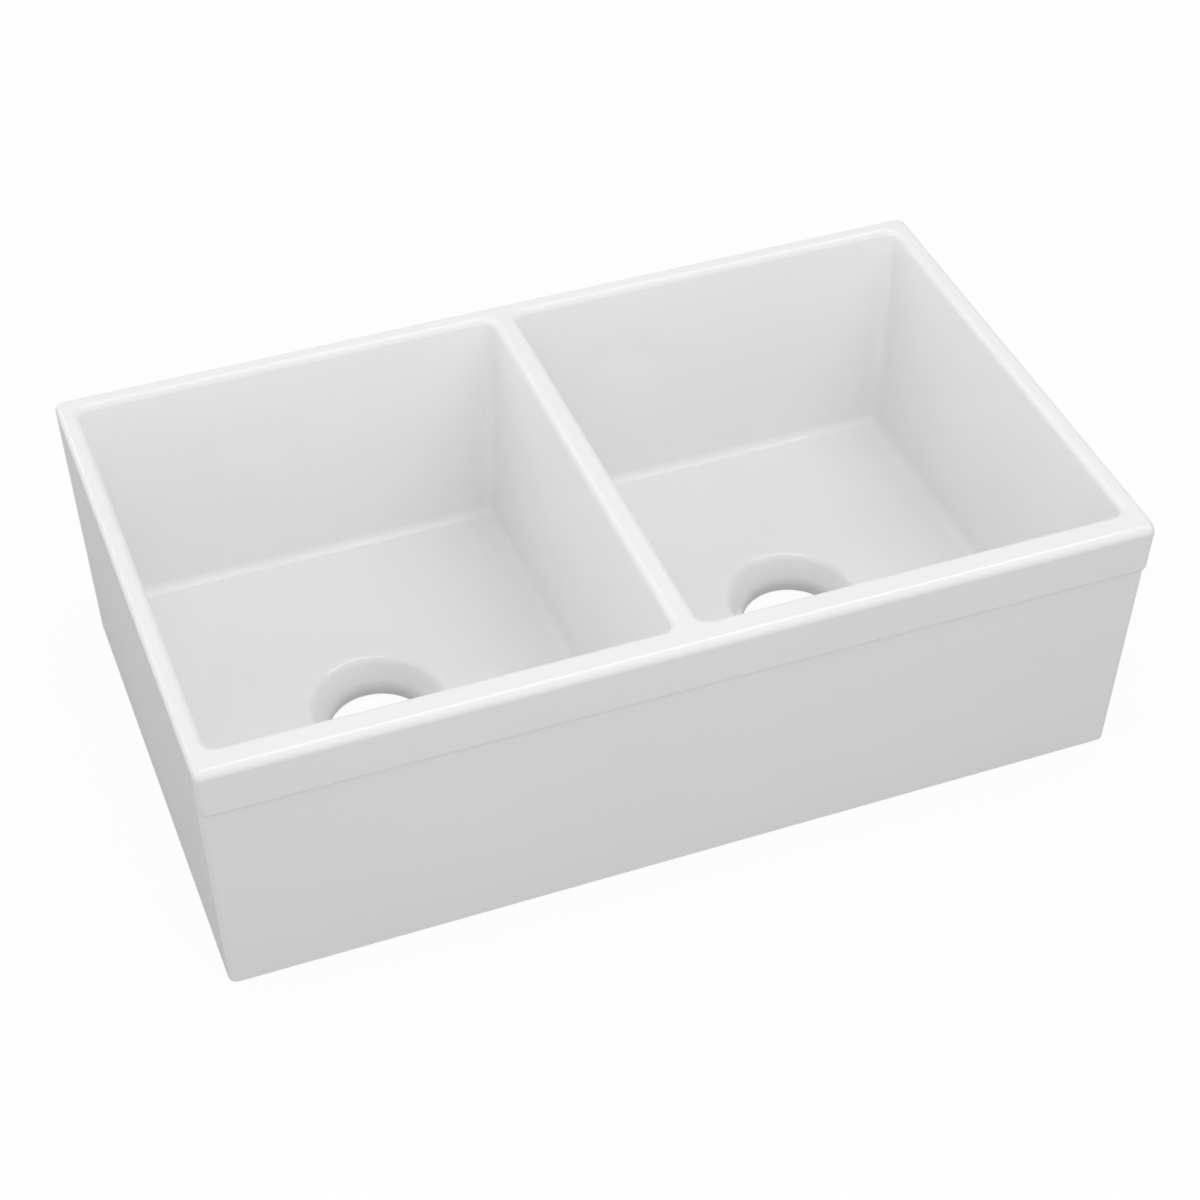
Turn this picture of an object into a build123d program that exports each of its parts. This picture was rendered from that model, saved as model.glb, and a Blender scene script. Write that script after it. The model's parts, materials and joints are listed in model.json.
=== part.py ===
"""Fireclay kitchen sink: a two-bowl, apron-front casting under a white glaze.

Millimetres, +X along the length, +Y to the back, +Z up. The origin is the middle of the base.
Every size is measured on the glazed surface. The clay is the same form set back by the depth of the coat,
with bevels under the coat's round edges, and the coat is the room between the two. The underside is bare.
"""
from build123d import *
from math import atan2, pi, radians, tan
import os

# Overall size at the rim, and the lean of every wall towards the base
length = 838.0
depth = 503.0
height = 259.0
draft_angle = 2.0

# Walls at the rim, and the floor
side_wall = 17.5
back_wall = 17.5
front_wall = 24.5
divider_wall = 22.0
floor_thickness = 35.0

# Band along the top of the apron
band_height = 49.0
band_step = 3.5
band_root = 12.0
band_end_gap = 0.3
band_top_radius = 8.0
band_end_radius = 6.5
band_edge_radius = 3.0

# Rounding of the body and the bowls
body_corner_radius = 7.5
rim_outer_radius = 5.0
rim_inner_radius = 7.0
bowl_corner_radius = 11.0
floor_radius = 9.5

# Drain holes and their cone-shaped seats
drain_spacing = 410.0
drain_diameter = 91.0
drain_throat_height = 13.5
drain_seat_width = 16.5
drain_seat_radius = 14.0
drain_throat_radius = 15.0

# Foot along the walls, which the rest of the underside lies above
foot_width = 26.0
foot_height = 2.75
foot_corner_radius = 12.0

# Coat of slip and glaze, its end above the base, and the clay's bevels as a share of the roundings over them
coat_thickness = 1.2
coat_end = 0.6
bevel_share = 0.66
drain_bevel_share = 0.3

front = -depth / 2
back = depth / 2
apron = front + band_step
bowl_length = length / 2 - side_wall - divider_wall / 2
bowl_centre = (divider_wall + bowl_length) / 2
bowl_front = apron + front_wall
bowl_back = back - back_wall
base_lean = height * tan(radians(draft_angle))
foot_inset = base_lean + foot_width


def leaning_block(low, high, centre_x, size_x, near_y, far_y):
    """A block between two levels whose walls lean in towards the base, given by its size at the rim."""
    with BuildPart() as block:
        with BuildSketch(Plane.XY.offset(low)):
            with Locations((centre_x, (near_y + far_y) / 2)):
                Rectangle(size_x, far_y - near_y)
        extrude(amount=high - low)
        walls = block.faces().filter_by(Axis.Z, reverse=True)
        draft(walls, Plane.XY.offset(height), -draft_angle)
    return block.part


def bevel(edges, radius):
    """A flat in place of a rounding, for edges that the coat hides."""
    chamfer(edges, bevel_share * radius)


def band_form(inset, soften):
    """The band: round at its ends and along its top, with a tighter lower edge."""
    low = height - band_height + inset
    size_x = length - 2 * (band_end_gap + inset)
    with BuildPart() as band:
        add(leaning_block(low, height - inset, 0, size_x, front + inset, apron + band_root))
        top_edge = band.edges().filter_by(Axis.X).group_by(Axis.Z)[-1].sort_by(Axis.Y)[0]
        soften(top_edge, band_top_radius)
        # All the edges around both ends, but for the two at the root
        ends = band.edges().filter_by(Axis.X, reverse=True)
        soften(ends.sort_by(Axis.Y)[:-2], band_end_radius)
        low_edge = band.edges().filter_by(Axis.X).group_by(Axis.Z)[0].sort_by(Axis.Y)[0]
        soften(low_edge, band_edge_radius)
    return band.part


def bowl_form(inset, soften, side):
    """The hollow of one bowl, with round corners and a round floor edge."""
    size_x = bowl_length + 2 * inset
    with BuildPart() as bowl:
        add(leaning_block(
            floor_thickness - inset, height, side * bowl_centre, size_x, bowl_front - inset, bowl_back + inset
        ))
        soften(bowl.edges().filter_by(Plane.XY, reverse=True), bowl_corner_radius)
        soften(bowl.faces().sort_by(Axis.Z)[0].edges(), floor_radius)
    return bowl.part


def drain_form(inset, side):
    """The hollow of one drain: a plain hole under a cone-shaped seat."""
    slope = atan2(floor_thickness - drain_throat_height, drain_seat_width)
    hole = drain_diameter / 2 + inset
    throat = drain_throat_height - inset * tan(pi / 4 - slope / 2)
    seat = drain_diameter / 2 + drain_seat_width + inset * tan(slope / 2)
    floor = floor_thickness - inset
    centre = (side * drain_spacing / 2, (bowl_front + bowl_back) / 2, 0)
    with BuildPart() as drain:
        with BuildSketch(Plane(centre, x_dir=(1, 0, 0), z_dir=(0, -1, 0))):
            Polygon((0, 0), (hole, 0), (hole, throat), (seat, floor), (0, floor), align=None)
        revolve(axis=Axis(centre, (0, 0, 1)))
    return drain.part


with BuildPart() as underside:
    with BuildSketch():
        with Locations((0, (apron + back) / 2)):
            RectangleRounded(length - 2 * foot_inset, back - apron - 2 * foot_inset, foot_corner_radius)
    extrude(amount=foot_height)


def rings(part):
    """The round edges of the drains, from the base up."""
    return part.edges().filter_by(lambda edge: edge.is_closed).group_by(Axis.Z)


def sink_form(inset, soften):
    """The whole sink with plain drains, every glazed surface set back by the inset and its edges softened."""
    with BuildPart() as sink:
        add(leaning_block(0, height - inset, 0, length - 2 * inset, apron + inset, back - inset))
        soften(sink.edges().filter_by(Plane.XY, reverse=True), body_corner_radius)
        soften(sink.faces().sort_by(Axis.Z)[-1].edges(), rim_outer_radius)
        add(band_form(inset, soften))
        for side in (-1, 1):
            add(bowl_form(inset, soften, side), mode=Mode.SUBTRACT)
        rim = sink.faces().filter_by(Axis.Z).sort_by(Axis.Z)[-1]
        soften([edge for wire in rim.inner_wires() for edge in wire.edges()], rim_inner_radius)
        for side in (-1, 1):
            add(drain_form(inset, side), mode=Mode.SUBTRACT)
        add(underside.part, mode=Mode.SUBTRACT)
    return sink.part


with BuildPart() as fireclay_body:
    add(sink_form(coat_thickness, bevel))
    chamfer(rings(fireclay_body)[-1], drain_bevel_share * drain_seat_radius)
    chamfer(rings(fireclay_body)[1], drain_bevel_share * drain_throat_radius)

with BuildPart() as glaze_coat:
    add(sink_form(0.0, fillet))
    fillet(rings(glaze_coat)[-1], drain_seat_radius)
    fillet(rings(glaze_coat)[1], drain_throat_radius)
    add(fireclay_body.part, mode=Mode.SUBTRACT)
    split(bisect_by=Plane.XY.offset(coat_end), keep=Keep.TOP)

os.makedirs("parts", exist_ok=True)
pieces = {"fireclay_body": fireclay_body, "glaze_coat": glaze_coat}
for name, piece in pieces.items():
    piece.part.label = name
    export_step(piece.part, f"parts/{name}.step")
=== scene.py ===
"""Looks for the fireclay kitchen sink: its glaze, its bare clay, a soft studio and the photograph's camera. Metres."""
import bpy
import json
from math import cos, radians, sin
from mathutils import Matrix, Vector

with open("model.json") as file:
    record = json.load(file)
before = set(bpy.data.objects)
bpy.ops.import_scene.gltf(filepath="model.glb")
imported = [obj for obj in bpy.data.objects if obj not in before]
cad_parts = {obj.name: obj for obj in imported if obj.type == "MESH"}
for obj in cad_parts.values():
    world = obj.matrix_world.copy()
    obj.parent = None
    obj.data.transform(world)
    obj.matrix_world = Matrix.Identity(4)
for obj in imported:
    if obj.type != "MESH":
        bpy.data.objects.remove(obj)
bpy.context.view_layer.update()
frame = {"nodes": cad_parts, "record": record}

# Camera, as the sink's straight edges in the photograph give it
view_azimuth = radians(-20.76)
view_elevation = radians(41.70)
view_distance = 2.3865
view_target = Vector((-0.0045, -0.0348, 0.1295))
lens_mm = 80.24
sensor_mm = 36.0

# Noise: its usual detail, and the middle of its range, which is stretched over a material's values
noise_detail = 2.0
noise_low = 0.3
noise_high = 0.7

# Glaze: slow unevenness of the casting, orange peel of the glaze, and faint clouds in its tone and gloss
casting_wave = 0.085
casting_depth = 0.00006
peel_wave = 0.0028
peel_depth = 0.000004
glaze_white = (0.93, 0.93, 0.93)
cloud_size = 0.16
cloud_tone = 0.985
gloss_low = 0.05
gloss_high = 0.085
glaze_ior = 1.52
glaze_shine = 0.5
shine_fades_from = 0.3
shine_fades_to = 0.85

# Bare clay: grains of grog, stains, and a dry skin with a fine tooth
grain_size = 0.0022
grain_detail = 0.0
stain_size = 0.05
stain_detail = 4.0
tooth_wave = 0.0012
tooth_depth = 0.00012
clay_dark = 0.86
clay_roughness = 0.9

# Smooth shading: points this close are one, edges that bend more than this stay sharp, and large faces lead
same_point = 0.00001
sharp_angle = radians(30)
large_face_lead = 100

# Studio: even light of the sky, the floor, and lamps with place, width and height, and power
plain_white = (1.0, 1.0, 1.0, 1.0)
sky_light = 0.475
floor_size = 14.0
floor_grey = 0.2
floor_shadow = 0.08
softboxes = {
    "softbox_over_front": ((0.0, -1.4, 2.2), (2.0, 2.0), 6.5),
    "softbox_front": ((0.0, -2.8, 1.0), (2.0, 2.0), 24.0),
    "softbox_left": ((-2.8, 0.0, 1.0), (2.0, 2.0), 14.0),
    "softbox_back_left": ((-1.7, 1.7, 1.5), (2.0, 2.0), 10.0),
    "softbox_back_right": ((1.7, 1.7, 1.5), (2.0, 2.0), 6.0),
}
# Narrower lamps that the gloss mirrors, as thin lines along rounded edges. It doesn't mirror the softboxes
strips = {
    "strip_over": ((0.5, 0.0, 2.6), (0.5, 2.0), 11.5),
    "strip_back": ((-0.9, 1.8, 1.8), (0.08, 0.8), 1.5),
}


def new_material(name):
    """An empty node material, with its tree and its surface output."""
    material = bpy.data.materials.new(name)
    material.use_nodes = True
    tree = material.node_tree
    tree.nodes.clear()
    return material, tree, tree.nodes.new("ShaderNodeOutputMaterial").inputs["Surface"]


def add_node(tree, kind, operation=None, **values):
    """A new node. Each input, with _ for a space, is set to a value or linked to another node's output."""
    node = tree.nodes.new("ShaderNode" + kind)
    if operation:
        node.operation = operation
    for name, value in values.items():
        socket = node.inputs[name.replace("_", " ")]
        if isinstance(value, bpy.types.NodeSocket):
            tree.links.new(value, socket)
        else:
            socket.default_value = value
    return node


def places(tree):
    """Where a point lies on the piece, in metres."""
    return add_node(tree, "TexCoord").outputs["Object"]


def noise(tree, place, wave, detail=noise_detail):
    """Soft noise of one wavelength over the piece."""
    return add_node(tree, "TexNoise", Vector=place, Scale=1 / wave, Detail=detail).outputs["Fac"]


def stretched(tree, source, from_low, from_high, low, high):
    """One range of values, stretched to another."""
    node = add_node(
        tree, "MapRange", Value=source, From_Min=from_low, From_Max=from_high, To_Min=low, To_Max=high
    )
    return node.outputs["Result"]


def spread(tree, source, low, high):
    """The middle of a noise, stretched between two values."""
    return stretched(tree, source, noise_low, noise_high, low, high)


def tinted(tree, factor, colour):
    """A colour, plain or from another node, made darker by a factor."""
    return add_node(tree, "VectorMath", "SCALE", Vector=colour, Scale=factor).outputs["Vector"]


def bumped(tree, height, depth, normal=None):
    """Bump of a real depth, on top of another normal if there is one."""
    node = add_node(tree, "Bump", Height=height, Distance=depth)
    if normal:
        tree.links.new(normal, node.inputs["Normal"])
    return node.outputs["Normal"]


def faded_shine(tree):
    """Shine that weakens at a slant, where the walls in the photograph mirror little."""
    turned = add_node(tree, "LayerWeight").outputs["Facing"]
    return stretched(tree, turned, shine_fades_from, shine_fades_to, glaze_shine, 0.0)


def glaze_material():
    """White glossy glaze."""
    material, tree, surface = new_material("white_glaze")
    place = places(tree)
    clouds = noise(tree, place, cloud_size)
    casting = bumped(tree, noise(tree, place, casting_wave), casting_depth)
    shader = add_node(
        tree, "BsdfPrincipled",
        Base_Color=tinted(tree, spread(tree, clouds, cloud_tone, 1.0), glaze_white),
        Roughness=spread(tree, clouds, gloss_low, gloss_high),
        IOR=glaze_ior,
        Specular_IOR_Level=faded_shine(tree),
        Normal=bumped(tree, noise(tree, place, peel_wave), peel_depth, casting),
    )
    tree.links.new(shader.outputs["BSDF"], surface)
    return material


def clay_material(colour):
    """Matt clay of a colour that stains and grains darken."""
    material, tree, surface = new_material("bare_fireclay")
    place = places(tree)
    stains = spread(tree, noise(tree, place, stain_size, stain_detail), clay_dark, 1.0)
    grains = spread(tree, noise(tree, place, grain_size, grain_detail), clay_dark, 1.0)
    shader = add_node(
        tree, "BsdfPrincipled",
        Base_Color=tinted(tree, stains, tinted(tree, grains, colour)),
        Roughness=clay_roughness,
        Normal=bumped(tree, noise(tree, place, tooth_wave), tooth_depth),
    )
    tree.links.new(shader.outputs["BSDF"], surface)
    return material


def seen_directly(tree):
    """1 for rays of the camera, of gloss and of glass, which see the white of the studio."""
    path = add_node(tree, "LightPath")
    seen = path.outputs["Is Camera Ray"]
    for kind in ("Is Glossy Ray", "Is Transmission Ray"):
        both = add_node(tree, "Math", "MAXIMUM")
        tree.links.new(seen, both.inputs[0])
        tree.links.new(path.outputs[kind], both.inputs[1])
        seen = both.outputs["Value"]
    return seen


def mixed(tree, factor, first, second):
    """Two shaders mixed by a number or by another node's output."""
    node = add_node(tree, "MixShader", Fac=factor)
    tree.links.new(first, node.inputs[1])
    tree.links.new(second, node.inputs[2])
    return node.outputs["Shader"]


def floor_material():
    """White where it is seen, with a faint shadow, and a plain grey for the light that it sends back."""
    material, tree, surface = new_material("studio_floor")
    grey = (floor_grey, floor_grey, floor_grey, 1.0)
    plain = add_node(tree, "BsdfDiffuse", Color=grey).outputs["BSDF"]
    white = add_node(tree, "Emission", Color=plain_white).outputs["Emission"]
    shaded = add_node(tree, "BsdfDiffuse", Color=plain_white).outputs["BSDF"]
    shown = mixed(tree, floor_shadow, white, shaded)
    tree.links.new(mixed(tree, seen_directly(tree), plain, shown), surface)
    return material


def light_the_sky():
    """A faint even light from all around, and plain white where the sky is seen."""
    world = bpy.data.worlds.new("studio")
    world.use_nodes = True
    tree = world.node_tree
    tree.nodes.clear()
    faint = add_node(tree, "Background", Color=plain_white, Strength=sky_light).outputs["Background"]
    white = add_node(tree, "Background", Color=plain_white).outputs["Background"]
    shown = mixed(tree, seen_directly(tree), faint, white)
    add_node(tree, "OutputWorld", Surface=shown)
    bpy.context.scene.world = world


def add_lamp(name, place, size, power, mirrored):
    """A lamp that points at the middle of the view."""
    light = bpy.data.lights.new(name, "AREA")
    light.shape = "RECTANGLE"
    light.size, light.size_y = size
    light.energy = power
    lamp = bpy.data.objects.new(name, light)
    lamp.location = place
    lamp.rotation_euler = (view_target - Vector(place)).to_track_quat("-Z", "Y").to_euler()
    lamp.visible_glossy = mirrored
    bpy.context.collection.objects.link(lamp)


def add_floor():
    """The floor that the sink stands on."""
    half = floor_size / 2
    corners = [(-half, -half, 0), (half, -half, 0), (half, half, 0), (-half, half, 0)]
    mesh = bpy.data.meshes.new("floor")
    mesh.from_pydata(corners, [], [range(len(corners))])
    mesh.materials.append(floor_material())
    floor = bpy.data.objects.new("floor", mesh)
    bpy.context.collection.objects.link(floor)


def add_camera():
    """The photograph's camera."""
    level = cos(view_elevation)
    back = Vector((sin(view_azimuth) * level, -cos(view_azimuth) * level, sin(view_elevation)))
    camera = bpy.data.objects.new("camera", bpy.data.cameras.new("camera"))
    camera.data.sensor_width = sensor_mm
    camera.data.lens = lens_mm
    camera.location = view_target + view_distance * back
    camera.rotation_euler = (-back).to_track_quat("-Z", "Y").to_euler()
    bpy.context.collection.objects.link(camera)
    bpy.context.scene.camera = camera


def dress(node, material):
    """Gives a CAD piece its material, and joins its faces so that its roundings shade smoothly."""
    node.data.materials.clear()
    node.data.materials.append(material)
    join = node.modifiers.new("join_faces", "WELD")
    join.merge_threshold = same_point
    split = node.modifiers.new("keep_sharp_edges", "EDGE_SPLIT")
    split.split_angle = sharp_angle
    smooth = node.modifiers.new("smooth_roundings", "WEIGHTED_NORMAL")
    smooth.weight = large_face_lead


colours = {entry["slot"]: entry["base_color"] for entry in frame["record"]["materials"]}
dress(frame["nodes"]["glaze_coat"], glaze_material())
dress(frame["nodes"]["fireclay_body"], clay_material(colours["fireclay"]))

add_floor()
light_the_sky()
for name, (place, size, power) in softboxes.items():
    add_lamp(name, place, size, power, False)
for name, (place, size, power) in strips.items():
    add_lamp(name, place, size, power, True)
add_camera()
bpy.context.scene.view_settings.view_transform = "Standard"
